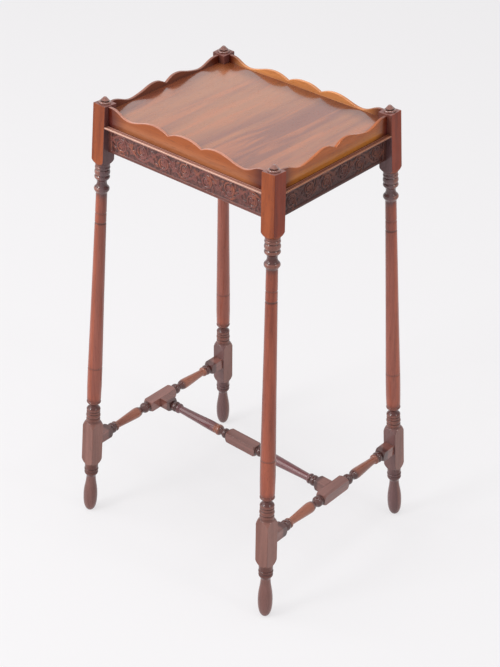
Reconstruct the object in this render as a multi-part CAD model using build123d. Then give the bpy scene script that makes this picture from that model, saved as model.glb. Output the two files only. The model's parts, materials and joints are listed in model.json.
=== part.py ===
from build123d import *
import math
import os

# All sizes are in millimetres. X runs along the long sides, Y along the
# short sides and Z up. The stand rests on the plane Z = 0.

# Legs, each turned from one square length
block_width = 22.5
foot_length = 92.2
lower_block_length = 80.0
spindle_length = 443.0
head_block_length = 89.8
foot_span_x = 369.4
foot_span_y = 318.6
head_span_x = 303.2
head_span_y = 242.6
lower_shoulder = 10.8
head_shoulder = 6.8

# Eased edges
block_arris = 0.6
stretcher_arris = 0.5
rail_arris = 0.5
gallery_arris = 1.0

# Fits between one piece and the next
fit = 0.1
tray_notch_gap = 0.3
tenon_end_gap = 0.5
overrun = 20.0

# Tray board and the rails that carry it
tray_drop = 13.7
tray_thickness = 8.0
rail_setback = 8.5
rail_thickness = 10.0
rail_height = 48.5
rail_tenon_thickness = 4.5
rail_tenon_cheek = 1.0
rail_tenon_height = 26.0
rail_tenon_rise = 5.0
tenon_wall = 1.5
tenon_root = 4.0

# Sunk field for the carving in the outer face of each rail
field_depth = 1.5
field_border = 3.0
field_lip = 0.6

# Scalloped gallery boards, which stand in a rebate of the rails
gallery_thickness = 4.5
gallery_rise = 12.0
gallery_rebate = 10.5
tongue_thickness = 2.4
tongue_cheek = 1.0
tongue_height = 10.0
tongue_rise = 3.0
tongue_length = 4.0

# Bead moulding that hides the joint of rail and gallery
moulding_inset = 0.15
moulding_rise = 2.4
bead_radius = 1.3
reed_count = 2
reed_width = 2.4
reed_rise = 1.1
reed_step = 0.6
cove_drop = 2.6

# Finials, with a round spigot in the top of each head block
finial_ring_radius = 8.6
finial_ring_height = 2.9
finial_knob_radius = 6.2
finial_height = 8.6
finial_spigot_radius = 2.5
finial_spigot_length = 7.0
finial_facets = 8
ring_shares = [(0.965, 0.0), (1.0, 0.38), (0.74, 1.0)]
knob_shares = [(0.86, 0.0), (1.0, 0.28), (0.37, 1.0)]

# Stretchers, an H between the lower blocks
stretcher_width = 17.4
stretcher_rise_share = 0.534
side_tenon_width = 6.0
side_tenon_height = 9.5
side_tenon_length = 11.0
centre_tenon_width = 9.0
centre_tenon_height = 5.0
centre_tenon_length = 7.0

# Glue blocks under the tray board
glue_block_size = 12.0
glue_block_length_x = 60.0
glue_block_length_y = 45.0
glue_block_chamfer = 6.0

# Turned outlines. Each step is a line, an arc or a curve through points.
# A point is a share of the length and a share of half the square's width.
foot_shares = [
    ("curve", [(-0.005, 0.33), (0.024, 0.57), (0.076, 0.77), (0.174, 0.93),
               (0.304, 0.98), (0.445, 0.92), (0.586, 0.75), (0.721, 0.65)]),
    ("line", [(0.742, 0.70), (0.775, 0.84)]),
    ("arc", [(0.806, 0.96), (0.842, 0.87)]),
    ("line", [(0.848, 0.86)]),
    ("arc", [(0.872, 0.985), (0.897, 0.88)]),
    ("line", [(0.903, 0.87), (0.912, 0.93), (1.0, 0.945)]),
]
spindle_shares = [
    ("line", [(0.0, 0.93), (0.006, 0.90)]),
    ("arc", [(0.0115, 0.965), (0.0167, 0.88)]),
    ("line", [(0.0181, 0.86)]),
    ("arc", [(0.0262, 0.99), (0.0339, 0.88)]),
    ("line", [(0.0352, 0.85)]),
    ("arc", [(0.0404, 0.94), (0.0451, 0.87)]),
    ("line", [(0.0462, 0.85)]),
    ("arc", [(0.0514, 0.95), (0.0562, 0.88)]),
    ("line", [(0.0573, 0.85)]),
    ("curve", [(0.0625, 0.67), (0.0689, 0.55), (0.0750, 0.67), (0.0795, 0.88)]),
    ("arc", [(0.0838, 0.975), (0.0878, 0.91)]),
    ("line", [(0.0892, 0.88), (0.0935, 0.895), (0.0955, 0.955)]),
    ("curve", [(0.126, 0.985), (0.169, 0.995), (0.2216, 0.985)]),
    ("line", [(0.2251, 0.935), (0.2286, 0.98)]),
    ("curve", [(0.293, 0.95), (0.402, 0.90), (0.537, 0.845), (0.673, 0.795), (0.782, 0.755)]),
    ("line", [(0.786, 0.70), (0.790, 0.75), (0.817, 0.74), (0.821, 0.69), (0.825, 0.74)]),
    ("line", [(0.894, 0.72), (0.901, 0.88)]),
    ("arc", [(0.908, 0.995), (0.915, 0.90)]),
    ("arc", [(0.931, 0.63), (0.944, 0.85)]),
    ("arc", [(0.950, 0.985), (0.9556, 0.90)]),
    ("line", [(0.9575, 0.85)]),
    ("arc", [(0.9672, 0.995), (0.9765, 0.90)]),
    ("line", [(0.9782, 0.85)]),
    ("arc", [(0.9838, 0.97), (0.9888, 0.90)]),
    ("line", [(0.990, 0.88), (0.992, 0.93), (1.0, 0.94)]),
]
side_half_shares = [
    ("line", [(0.210, 0.80), (0.220, 0.77)]),
    ("arc", [(0.256, 0.985), (0.290, 0.74)]),
    ("line", [(0.302, 0.63), (0.322, 0.62), (0.330, 0.68)]),
    ("curve", [(0.345, 0.83), (0.370, 0.94), (0.402, 0.97), (0.450, 0.925), (0.505, 0.86),
               (0.600, 0.74), (0.655, 0.68), (0.695, 0.65)]),
    ("line", [(0.706, 0.69)]),
    ("arc", [(0.726, 0.92), (0.746, 0.80)]),
    ("arc", [(0.777, 0.99), (0.806, 0.82)]),
    ("line", [(0.816, 0.80)]),
]
centre_half_shares = [
    ("line", [(0.181, 0.80), (0.189, 0.76)]),
    ("arc", [(0.212, 0.94), (0.234, 0.72)]),
    ("line", [(0.247, 0.63), (0.262, 0.72)]),
    ("arc", [(0.285, 0.985), (0.309, 0.92)]),
    ("line", [(0.316, 0.87), (0.324, 0.925)]),
    ("curve", [(0.40, 0.92), (0.50, 0.855), (0.60, 0.79), (0.70, 0.725), (0.766, 0.69)]),
    ("line", [(0.775, 0.67), (0.782, 0.74)]),
    ("arc", [(0.799, 0.95), (0.816, 0.80)]),
    ("arc", [(0.842, 0.985), (0.868, 0.82)]),
    ("line", [(0.877, 0.80)]),
]
side_block_share = 0.179
side_end_share = 0.849
centre_block_share = 0.158
centre_end_share = 0.898
shoulder_bulge_share = 0.62

# Gallery outlines from the middle to one leg. A point is a share of the
# half length and a share of the rise above the tray board.
long_arch_shares = [(0.0, 0.96), (0.07, 0.925), (0.14, 0.73), (0.212, 0.37)]
long_lobe_shares = [(0.212, 0.37), (0.27, 0.66), (0.34, 0.87), (0.41, 0.92), (0.50, 0.77),
                    (0.59, 0.47), (0.66, 0.25), (0.73, 0.16), (0.80, 0.33), (0.86, 0.67),
                    (0.92, 0.95), (0.96, 1.0)]
short_lobe_shares = [(0.0, 0.33), (0.05, 0.60), (0.11, 0.87), (0.20, 1.0), (0.29, 0.91),
                     (0.40, 0.61), (0.52, 0.35), (0.63, 0.225), (0.72, 0.37), (0.80, 0.66),
                     (0.88, 0.90), (0.95, 0.96)]

# Heights and places worked out from the sizes above
half_block = block_width / 2
leg_length = foot_length + lower_block_length + spindle_length + head_block_length
lean_x = (foot_span_x - head_span_x) / 2
lean_y = (foot_span_y - head_span_y) / 2
leg_top = math.sqrt(leg_length ** 2 - lean_x ** 2 - lean_y ** 2)
tray_top = leg_top - tray_drop
tray_under = tray_top - tray_thickness
rail_bottom = tray_under - rail_height
gallery_seat = tray_under - gallery_rebate
stretcher_height = (foot_length + stretcher_rise_share * lower_block_length) * leg_top / leg_length
corners = {
    "front_left": (-1, -1),
    "front_right": (1, -1),
    "rear_right": (1, 1),
    "rear_left": (-1, 1),
}


def axis_x(height):
    """Distance in X from the middle of the stand to a leg's axis."""
    return foot_span_x / 2 - lean_x * height / leg_top


def axis_y(height):
    """Distance in Y from the middle of the stand to a leg's axis."""
    return foot_span_y / 2 - lean_y * height / leg_top


rail_out_x = axis_x(gallery_seat) + half_block - rail_setback
rail_out_y = axis_y(gallery_seat) + half_block - rail_setback
rail_in_x = rail_out_x - rail_thickness
rail_in_y = rail_out_y - rail_thickness
moulding_depth = rail_setback - moulding_inset
stretcher_x = axis_x(stretcher_height)
half_stretcher = stretcher_width / 2


def leg_plane(sx, sy):
    """The plane at a leg's foot, with its Z along the leaning axis."""
    return Plane(
        origin=(sx * foot_span_x / 2, sy * foot_span_y / 2, 0),
        x_dir=(leg_top, 0, sx * lean_x),
        z_dir=(-sx * lean_x, -sy * lean_y, leg_top),
    )


def span_box(x_ends, y_ends, z_ends):
    """A box between two places along each axis, in either order."""
    low = [min(ends) for ends in (x_ends, y_ends, z_ends)]
    high = [max(ends) for ends in (x_ends, y_ends, z_ends)]
    sizes = [top - bottom for top, bottom in zip(high, low)]
    return Pos(*low) * Box(*sizes, align=Align.MIN)


def grown(ends, amount):
    """Two places, each moved outwards by an amount."""
    return min(ends) - amount, max(ends) + amount


def outline(steps, start, length, radius):
    """The edges of a turned outline, and its first and last points."""
    edges = []
    here = None
    first = None
    for kind, shares in steps:
        points = [(radius * across, start + length * along) for along, across in shares]
        if kind == "curve":
            path = points if here is None else [here] + points
            edges.append(Spline(*path))
        elif kind == "arc":
            edges.append(ThreePointArc(here, points[0], points[1]))
        else:
            path = points if here is None else [here] + points
            if len(path) > 1:
                edges.append(Polyline(*path))
        first = first or points[0]
        here = points[-1]
    return edges, first, here


def shoulder(narrow, wide):
    """The rounded step from a turning to the corners of a square block."""
    middle = (
        narrow[0] + shoulder_bulge_share * (wide[0] - narrow[0]),
        narrow[1] + (1 - shoulder_bulge_share) * (wide[1] - narrow[1]),
    )
    return ThreePointArc(narrow, middle, wide)


def square_bar(width, low, high):
    """A square length of wood on the Z axis."""
    centred = (Align.CENTER, Align.CENTER, Align.MIN)
    return Pos(0, 0, low) * Box(width, width, high - low, align=centred)


def leg_blank():
    """A leg standing upright on its own axis, before its joints are cut."""
    corner = half_block * math.sqrt(2) + fit
    block_high = foot_length + lower_block_length
    head_low = block_high + spindle_length
    foot_edges, foot_start, foot_end = outline(foot_shares, 0, foot_length, half_block)
    spindle_edges, spindle_start, spindle_end = outline(
        spindle_shares, block_high, spindle_length, half_block
    )
    block_corners = [
        (corner, foot_length + lower_shoulder),
        (corner, block_high - lower_shoulder),
        (corner, head_low + head_shoulder),
    ]
    with BuildSketch(Plane.XZ) as half:
        with BuildLine():
            Line((0, foot_start[1]), foot_start)
            add(foot_edges)
            add(shoulder(foot_end, block_corners[0]))
            Line(block_corners[0], block_corners[1])
            add(shoulder(spindle_start, block_corners[1]))
            add(spindle_edges)
            add(shoulder(spindle_end, block_corners[2]))
            Polyline(block_corners[2], (corner, leg_length), (0, leg_length), (0, foot_start[1]))
        make_face()
    stock = square_bar(block_width, -overrun, leg_length)
    top_edges = stock.faces().sort_by(Axis.Z)[-1].edges()
    stock = fillet(stock.edges().filter_by(Axis.Z) + top_edges, block_arris)
    socket_low = leg_length - finial_spigot_length - tenon_end_gap
    socket = Pos(0, 0, socket_low) * Cylinder(
        finial_spigot_radius + fit, leg_length, align=(Align.CENTER, Align.CENTER, Align.MIN)
    )
    return (revolve(half.sketch, Axis.Z) & stock) - socket


def head_room(sx, sy, gap=fit):
    """The room that a head block takes, with a gap around it."""
    low = foot_length + lower_block_length + spindle_length
    return leg_plane(sx, sy).location * square_bar(block_width + 2 * gap, low, leg_length + overrun)


def lower_room(sx, sy):
    """The room that a lower block takes, with the fit around it."""
    high = foot_length + lower_block_length
    return leg_plane(sx, sy).location * square_bar(block_width + 2 * fit, foot_length, high)


def rail_tenon(sx, sy, along_x, slack):
    """A rail's tenon at one corner, or its mortise when there is slack."""
    end_gap = tenon_end_gap if slack else 0
    z_low = rail_bottom + rail_tenon_rise
    z_ends = grown((z_low, z_low + rail_tenon_height), slack)
    cheeks = rail_tenon_cheek + rail_tenon_thickness
    if along_x:
        outer = rail_out_y - rail_tenon_cheek
        root = axis_x(z_low) - half_block - tenon_root
        tip = rail_out_x - cheeks - tenon_wall + end_gap
        y_ends = grown((sy * outer, sy * (outer - rail_tenon_thickness)), slack)
        return span_box((sx * root, sx * tip), y_ends, z_ends)
    outer = rail_out_x - rail_tenon_cheek
    root = axis_y(z_low) - half_block - tenon_root
    tip = rail_out_y - cheeks - tenon_wall + end_gap
    x_ends = grown((sx * outer, sx * (outer - rail_tenon_thickness)), slack)
    return span_box(x_ends, (sy * root, sy * tip), z_ends)


def gallery_tongue(sx, sy, along_x, slack):
    """A gallery board's tongue at one corner, or its groove when there is slack."""
    end_gap = tenon_end_gap if slack else 0
    z_low = gallery_seat + tongue_rise
    z_ends = grown((z_low, z_low + tongue_height), slack)
    if along_x:
        outer = rail_out_y - tongue_cheek
        inner = axis_x(z_low) - half_block
        y_ends = grown((sy * outer, sy * (outer - tongue_thickness)), slack)
        return span_box((sx * (inner - tenon_root), sx * (inner + tongue_length + end_gap)), y_ends, z_ends)
    outer = rail_out_x - tongue_cheek
    inner = axis_y(z_low) - half_block
    x_ends = grown((sx * outer, sx * (outer - tongue_thickness)), slack)
    return span_box(x_ends, (sy * (inner - tenon_root), sy * (inner + tongue_length + end_gap)), z_ends)


def side_tenon(sx, sy, slack):
    """A side stretcher's tenon in a lower block, or its mortise."""
    end_gap = tenon_end_gap if slack else 0
    middle = sx * stretcher_x
    inner = axis_y(stretcher_height) - half_block
    x_ends = grown((middle - side_tenon_width / 2, middle + side_tenon_width / 2), slack)
    z_ends = (stretcher_height - side_tenon_height / 2, stretcher_height + side_tenon_height / 2)
    y_ends = (sy * (inner - tenon_root), sy * (inner + side_tenon_length + end_gap))
    return span_box(x_ends, y_ends, grown(z_ends, slack))


def centre_tenon(sx, slack):
    """The centre stretcher's tenon in a side stretcher, or its mortise."""
    end_gap = tenon_end_gap if slack else 0
    inner = stretcher_x - half_stretcher
    y_ends = grown((-centre_tenon_width / 2, centre_tenon_width / 2), slack)
    z_ends = (stretcher_height - centre_tenon_height / 2, stretcher_height + centre_tenon_height / 2)
    x_ends = (sx * (inner - tenon_root), sx * (inner + centre_tenon_length + end_gap))
    return span_box(x_ends, y_ends, grown(z_ends, slack))


def leg(blank, sx, sy):
    """One leg in its place, with the mortises that its neighbours need."""
    body = leg_plane(sx, sy).location * blank
    body -= Pos(0, 0, -overrun) * Box(2 * foot_span_x, 2 * foot_span_y, 2 * overrun)
    for along_x in (True, False):
        body -= rail_tenon(sx, sy, along_x, fit)
        body -= gallery_tongue(sx, sy, along_x, fit)
    return body - side_tenon(sx, sy, fit)


def finial(sx, sy):
    """A faceted knob on a turned ring, with a spigot for the head block."""
    lip, bulge, top = [
        (finial_ring_radius * across, finial_ring_height * up) for across, up in ring_shares
    ]
    with BuildSketch(Plane.XZ) as half:
        with BuildLine():
            Line((0, 0), lip)
            ThreePointArc(lip, bulge, top)
            Polyline(top, (0, finial_ring_height), (0, 0))
        make_face()
    shape = revolve(half.sketch, Axis.Z)
    rise = finial_height - finial_ring_height
    levels = []
    for across, up in knob_shares:
        level = RegularPolygon(finial_knob_radius * across, finial_facets)
        levels.append(Pos(0, 0, finial_ring_height + rise * up) * level)
    for lower, upper in zip(levels, levels[1:]):
        shape += loft([lower, upper], ruled=True)
    shape += Cylinder(
        finial_spigot_radius, finial_spigot_length, align=(Align.CENTER, Align.CENTER, Align.MAX)
    )
    return leg_plane(sx, sy).location * Pos(0, 0, leg_length + fit) * shape


def end_corners(along_x, side):
    """The two corners that a board on one side of the stand runs between."""
    if along_x:
        return [(-1, side), (1, side)]
    return [(side, -1), (side, 1)]


def fitted(board, along_x, side):
    """A board trimmed to the head blocks at its ends."""
    for sx, sy in end_corners(along_x, side):
        board -= head_room(sx, sy)
    return board


def run(along_x, side, outer, inner, z_ends):
    """A straight board from one leg's axis to the next."""
    if along_x:
        return span_box((-head_span_x / 2, head_span_x / 2), (side * outer, side * inner), z_ends)
    return span_box((side * outer, side * inner), (-head_span_y / 2, head_span_y / 2), z_ends)


def rail(along_x, side):
    """A frieze rail, rebated along its top for the gallery board."""
    outer = rail_out_y if along_x else rail_out_x
    inner = outer - rail_thickness
    body = run(along_x, side, outer, inner, (rail_bottom, tray_under - fit))
    long_edges = body.edges().filter_by(Axis.X if along_x else Axis.Y)
    body = fillet(long_edges.group_by(Axis.Z)[0], rail_arris)
    body -= run(along_x, side, outer + overrun, outer - gallery_thickness - fit, (gallery_seat, tray_top))
    half = (axis_x(rail_bottom) if along_x else axis_y(rail_bottom)) - half_block
    lean = lean_x if along_x else lean_y
    reach = half - field_border - lean * rail_height / leg_top
    z_ends = (rail_bottom + field_border, gallery_seat - cove_drop - field_lip)
    if along_x:
        body -= span_box((-reach, reach), (side * (outer - field_depth), side * (outer + overrun)), z_ends)
    else:
        body -= span_box((side * (outer - field_depth), side * (outer + overrun)), (-reach, reach), z_ends)
    body = fitted(body, along_x, side)
    for sx, sy in end_corners(along_x, side):
        body += rail_tenon(sx, sy, along_x, 0)
    return body


def lobes(along_x):
    """The scalloped outline from the middle of a gallery board to one end."""
    half = (axis_x(tray_top) if along_x else axis_y(tray_top)) - half_block
    tables = [long_arch_shares, long_lobe_shares] if along_x else [short_lobe_shares]
    return [
        [(half * along, tray_top + gallery_rise * up) for along, up in table]
        for table in tables
    ]


def gallery(along_x, side):
    """A scalloped gallery board with a tongue at each end."""
    outer = rail_out_y if along_x else rail_out_x
    far = (head_span_x if along_x else head_span_y) / 2
    low = gallery_seat + fit
    if along_x:
        face = Plane(origin=(0, side * outer, 0), x_dir=(-side, 0, 0), z_dir=(0, side, 0))
    else:
        face = Plane(origin=(side * outer, 0, 0), x_dir=(0, side, 0), z_dir=(side, 0, 0))
    curves = lobes(along_x)
    with BuildSketch(face) as sketch:
        with BuildLine():
            for points in curves:
                Spline(*points)
            ear = curves[-1][-1]
            Polyline(ear, (far, ear[1]), (far, low), (0, low), curves[0][0])
        make_face()
    half = extrude(sketch.sketch, -gallery_thickness)
    across = Axis.Y if along_x else Axis.X
    rim = [edge for edge in half.edges() - half.edges().filter_by(across) if edge.center().Z > tray_top]
    half = fillet(rim, gallery_arris)
    body = fitted(half + mirror(half, about=Plane.YZ if along_x else Plane.XZ), along_x, side)
    for sx, sy in end_corners(along_x, side):
        body += gallery_tongue(sx, sy, along_x, 0)
    return body


def moulding(along_x, side):
    """A bead with two reeds behind it, planted over the rail's joint."""
    if along_x:
        length = head_span_x
        start = (-side * length / 2, side * rail_out_y, 0)
        section_plane = Plane(origin=start, x_dir=(0, side, 0), z_dir=(side, 0, 0))
    else:
        length = head_span_y
        start = (side * rail_out_x, side * length / 2, 0)
        section_plane = Plane(origin=start, x_dir=(side, 0, 0), z_dir=(0, -side, 0))
    bead_out = moulding_depth - bead_radius
    bead_mid = gallery_seat + moulding_rise - bead_radius
    bead_low = (bead_out, bead_mid - bead_radius)
    bottom = (fit, gallery_seat - cove_drop)
    cove = ((bottom[0] + bead_low[0]) / 2, bead_low[1])
    with BuildSketch(section_plane) as section:
        with BuildLine():
            CenterArc((bead_out, bead_mid), bead_radius, -90, 270)
            here = (bead_out - bead_radius, bead_mid)
            for _ in range(reed_count):
                there = (here[0] - reed_width, here[1] + reed_step)
                ThreePointArc(here, (here[0] - reed_width / 2, here[1] + reed_rise), there)
                here = there
            Polyline(here, (fit, here[1]), bottom)
            Spline(bottom, cove, bead_low)
        make_face()
    return fitted(extrude(section.sketch, length), along_x, side)


def tray_board():
    """The board inside the gallery, notched round the four head blocks."""
    half_x = rail_out_x - gallery_thickness - fit
    half_y = rail_out_y - gallery_thickness - fit
    body = span_box((-half_x, half_x), (-half_y, half_y), (tray_under, tray_top))
    for sx, sy in corners.values():
        body -= head_room(sx, sy, tray_notch_gap)
    return body


def half_stretcher_blank(steps, length, end, block_share, end_share):
    """Half of a stretcher on the Z axis, from its middle block outwards."""
    corner = half_stretcher * math.sqrt(2) + fit
    edges, first, last = outline(steps, 0, length, half_stretcher)
    middle_corner = (corner, length * block_share)
    end_corner = (corner, length * end_share)
    with BuildSketch(Plane.XZ) as half:
        with BuildLine():
            Polyline((0, 0), (corner, 0), middle_corner)
            add(shoulder(first, middle_corner))
            add(edges)
            add(shoulder(last, end_corner))
            Polyline(end_corner, (corner, end), (0, end), (0, 0))
        make_face()
    stock = square_bar(stretcher_width, 0, end)
    return revolve(half.sketch, Axis.Z) & fillet(stock.edges().filter_by(Axis.Z), stretcher_arris)


def side_stretcher(sx):
    """A turned stretcher along a short side, between two lower blocks."""
    reach = axis_y(stretcher_height)
    half = half_stretcher_blank(
        side_half_shares, reach - half_block, reach, side_block_share, side_end_share
    )
    body = half + mirror(half, about=Plane.XY)
    body = Pos(sx * stretcher_x, 0, stretcher_height) * Rot(90, 0, 0) * body
    for sy in (-1, 1):
        body -= lower_room(sx, sy)
        body += side_tenon(sx, sy, 0)
    return body - centre_tenon(sx, fit)


def centre_stretcher():
    """The turned stretcher between the two side stretchers."""
    reach = stretcher_x - half_stretcher - fit
    half = half_stretcher_blank(centre_half_shares, reach, reach, centre_block_share, centre_end_share)
    body = half + mirror(half, about=Plane.XY)
    body = Pos(0, 0, stretcher_height) * Rot(0, 90, 0) * body
    for sx in (-1, 1):
        body += centre_tenon(sx, 0)
    return body


def glue_block(along_x, side):
    """A chamfered block in the corner of a rail and the tray board."""
    high = tray_under - fit
    low = high - glue_block_size
    if along_x:
        outer = rail_out_y - rail_thickness - fit
        y_ends = (side * outer, side * (outer - glue_block_size))
        body = span_box((-glue_block_length_x / 2, glue_block_length_x / 2), y_ends, (low, high))
        edges = body.edges().filter_by(Axis.X)
    else:
        outer = rail_out_x - rail_thickness - fit
        x_ends = (side * outer, side * (outer - glue_block_size))
        body = span_box(x_ends, (-glue_block_length_y / 2, glue_block_length_y / 2), (low, high))
        edges = body.edges().filter_by(Axis.Y)
    bottom = edges.group_by(Axis.Z)[0]
    free = bottom.sort_by(lambda edge: edge.center().X ** 2 + edge.center().Y ** 2)[0]
    return chamfer(free, glue_block_chamfer)


def all_parts():
    """Every piece of the stand by its name."""
    parts = {}
    blank = leg_blank()
    for name, (sx, sy) in corners.items():
        parts["leg_" + name] = leg(blank, sx, sy)
        parts["finial_" + name] = finial(sx, sy)
    sides = {"front": (True, -1), "rear": (True, 1), "left": (False, -1), "right": (False, 1)}
    for name, (along_x, side) in sides.items():
        parts["rail_" + name] = rail(along_x, side)
        parts["gallery_" + name] = gallery(along_x, side)
        parts["moulding_" + name] = moulding(along_x, side)
        parts["glue_block_" + name] = glue_block(along_x, side)
    parts["tray_board"] = tray_board()
    parts["stretcher_left"] = side_stretcher(-1)
    parts["stretcher_right"] = side_stretcher(1)
    parts["stretcher_centre"] = centre_stretcher()
    return parts


def main():
    os.makedirs("parts", exist_ok=True)
    for name, shape in all_parts().items():
        export_step(shape, "parts/" + name + ".step")


if __name__ == "__main__":
    main()
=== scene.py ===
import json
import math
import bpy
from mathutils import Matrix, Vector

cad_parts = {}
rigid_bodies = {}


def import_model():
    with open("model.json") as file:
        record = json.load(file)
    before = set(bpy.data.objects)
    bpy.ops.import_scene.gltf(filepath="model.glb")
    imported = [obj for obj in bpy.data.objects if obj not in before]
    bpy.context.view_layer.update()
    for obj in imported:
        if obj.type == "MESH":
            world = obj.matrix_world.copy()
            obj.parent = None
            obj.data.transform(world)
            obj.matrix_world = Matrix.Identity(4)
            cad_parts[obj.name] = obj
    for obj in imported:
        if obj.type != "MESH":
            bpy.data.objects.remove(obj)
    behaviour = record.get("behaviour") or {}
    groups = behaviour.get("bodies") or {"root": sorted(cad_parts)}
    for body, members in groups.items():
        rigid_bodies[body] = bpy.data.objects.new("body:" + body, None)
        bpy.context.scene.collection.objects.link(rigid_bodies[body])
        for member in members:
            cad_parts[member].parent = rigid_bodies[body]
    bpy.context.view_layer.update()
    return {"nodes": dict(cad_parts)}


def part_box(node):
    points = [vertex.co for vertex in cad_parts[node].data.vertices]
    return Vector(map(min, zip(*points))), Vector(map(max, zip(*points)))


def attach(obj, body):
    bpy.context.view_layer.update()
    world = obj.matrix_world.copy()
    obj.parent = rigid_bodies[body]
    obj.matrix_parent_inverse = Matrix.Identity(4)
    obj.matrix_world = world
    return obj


bl_info = {
    "name": "Kettle Stand",
    "version": (1, 0, 0),
    "blender": (4, 5, 0),
    "location": "View3D > Sidebar > Stand",
    "description": "Carves, polishes and stages a kettle stand with a scalloped gallery",
    "category": "Object",
}

import bpy
import numpy as np
from bpy.props import FloatProperty, FloatVectorProperty, IntProperty, PointerProperty
from mathutils import Matrix, Vector

bpy.ops.object.select_all(action="SELECT")
bpy.ops.object.delete()
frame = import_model()

MM = 0.001
BODY = "root"
CORNERS = ("front_left", "front_right", "rear_right", "rear_left")
LONG_SIDES, SHORT_SIDES = ("front", "rear"), ("left", "right")
SIDES = LONG_SIDES + SHORT_SIDES

# The ends of the rear right leg's axis
FOOT_AXIS = (184.7 * MM, 159.3 * MM, 0.0)
HEAD_AXIS = (151.6 * MM, 121.3 * MM, 703.2 * MM)

# How dense the grain's patterns are along each axis: they are drawn out along the fibres
ALONG_X, ALONG_Y, ALONG_Z = (0.05, 1, 1), (1, 0.05, 1), (1, 1, 0.05)
TRAY_GRAIN, TRAY_BANDS = (1, 0.09, 1), (1, 0.10, 1)
TRAY_SLANT = math.radians(-14)

# The noises in the wood: scale, detail, distortion, and the values between which a mask rises
FIGURE = (40.0, 3.0, 0.6, 0.36, 0.64)
STREAKS = (170.0, 3.0, 0.3, 0.34, 0.68)
PORES = (1500.0, 1.0, 0.0, 0.62, 0.72)
PATCHES = (90.0, 3.0, 0.0, 0.3, 0.7)
MOTTLE = (60.0, 4.0, 0.0, 0.3, 0.7)
RUBBED = (55.0, 3.0, 0.0, 0.46, 0.66)
WORN = (240.0, 3.0, 0.0, 0.35, 0.65)
GREY_BANDS = (27.0, 3.0, 0.4, 0.40, 0.66)
ORANGE_BANDS = (60.0, 3.0, 0.9, 0.46, 0.70)
FIBRE_SCALE = 620.0

# How much each of them darkens the grain, and how far the tray's orange bands are orange
FIGURE_SHARE, STREAK_SHARE, FIBRE_SHARE, PORE_SHARE = 0.55, 0.30, 0.15, 0.35
ORANGE_SHARE = 0.7

# Colours that other colours are multiplied by, and the colour of the pores
PALE_LIFT = (1.22, 1.22, 1.22, 1.0)
DEEP_STREAKS = (0.55, 0.42, 0.38, 1.0)
TRAY_STREAKS = (0.80, 0.68, 0.62, 1.0)
TRAY_PAINTED_SHADE = (0.46, 0.34, 0.28, 1.0)
# Painted light on the gallery's lower part and painted shade on its upper part
GALLERY_PAINTED_LIGHT_BELOW = (1.05, 1.3, 1.9, 1.0)
GALLERY_PAINTED_SHADE_ABOVE = (0.80, 0.66, 0.40, 1.0)
PORE_COLOUR = (0.02, 0.01, 0.01, 1.0)

# The wood's own reflection, and the polish's index and roughness
SHEENS = {
    "plain": (0.12, 1.3, 0.15),
    "legs": (0.12, 1.5, 0.12),
    "finials": (0.5, 1.6, 0.08),
    "carving": (0.05, 1.4, 0.14),
    "tray": (0.45, 1.5, 0.13),
    "stretchers": (0.12, 1.6, 0.11),
}
FIBRE_RELIEF = 0.3 * MM
# How wide a hollow holds old polish and painted shade, and how open it is where they are full and
# where they end
GRIME_AND_SHADE_REACH = 4 * MM
HOLLOWS = (0.62, 0.93)

# Between which values a part of a normal counts as facing that way
FACING_X, FACING_UP, EDGE_UP = (0.6, 0.8), (0.85, 0.95), (0.3, 0.7)
# The same for the product of place and normal, of faces that look to the stand's middle
FACING_IN = (-0.08, -0.04)

# The leg's tables have shares of its length, and what holds there. First its colours
LEG_ZONES = (
    (0.0, "foot_brown"), (0.096, "foot_brown"), (0.103, "ring_brown"), (0.127, "ring_brown"),
    (0.133, "lower_brown"), (0.241, "lower_brown"), (0.248, "ring_brown"), (0.295, "ring_brown"),
    (0.312, "shaft_brown"), (0.795, "shaft_brown"), (0.811, "ring_brown"), (0.868, "ring_brown"),
    (0.875, "head_brown"),
)
# How far the swell of the rings is rubbed pale and given a painted highlight
RING_WEAR_AND_HIGHLIGHT = (
    (0.0, 0.0), (0.10, 0.0), (0.103, 0.2), (0.127, 0.2), (0.13, 0.0), (0.245, 0.0),
    (0.248, 0.5), (0.295, 0.5), (0.30, 0.0), (0.805, 0.0), (0.811, 0.8), (0.868, 0.8),
    (0.872, 0.0),
)
# How strong the dark streaks are
LEG_STREAKS = (
    (0.0, 0.7), (0.295, 0.7), (0.312, 1.0), (0.795, 1.0), (0.811, 0.8), (0.87, 0.8), (0.88, 1.0),
)
# How much clear polish lies over the wood
LEG_GLOSS = (
    (0.0, 0.6), (0.241, 0.6), (0.248, 0.65), (0.295, 0.65), (0.312, 0.7), (0.795, 0.7),
    (0.811, 0.85), (0.868, 0.85), (0.875, 0.35),
)
# How much painted shade the faces that look to the middle get
LEG_INNER_SHADE = (
    (0.0, 0.0), (0.30, 0.0), (0.33, 0.28), (0.79, 0.28), (0.815, 1.0), (0.952, 1.0), (0.96, 0.65),
)
LOW_INNER_SHADE = 0.7
# The grooves on the shafts, painted dark with old polish and painted shade, and how far each is
# dark to both sides
LEG_GROOVES = (0.3854, 0.738, 0.7601)
GROOVE_REACH = 0.0025
# Where the lower block ends, and where the head block and its top begin
LOW_BLOCK_END, HEAD_START, HEAD_TOP = (0.24, 0.25), (0.87, 0.88), (0.98, 0.99)
# The radius at which a ring's swell is rubbed pale and takes the painted highlight
RING_SWELL = (9.5 * MM, 10.5 * MM)

# Where the gallery gets redder to its ends (of the half length), and the heights over which its
# painted light low down turns to painted shade at its top edge
GALLERY_ENDS = (0.70, 0.96)
GALLERY_RISE = (6 * MM, 22 * MM)
# How strong the painted highlight on the top edges is
GALLERY_EDGE_HIGHLIGHT = {"front": 0.38, "rear": 0.15, "left": 0.15, "right": 0.1}

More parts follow.
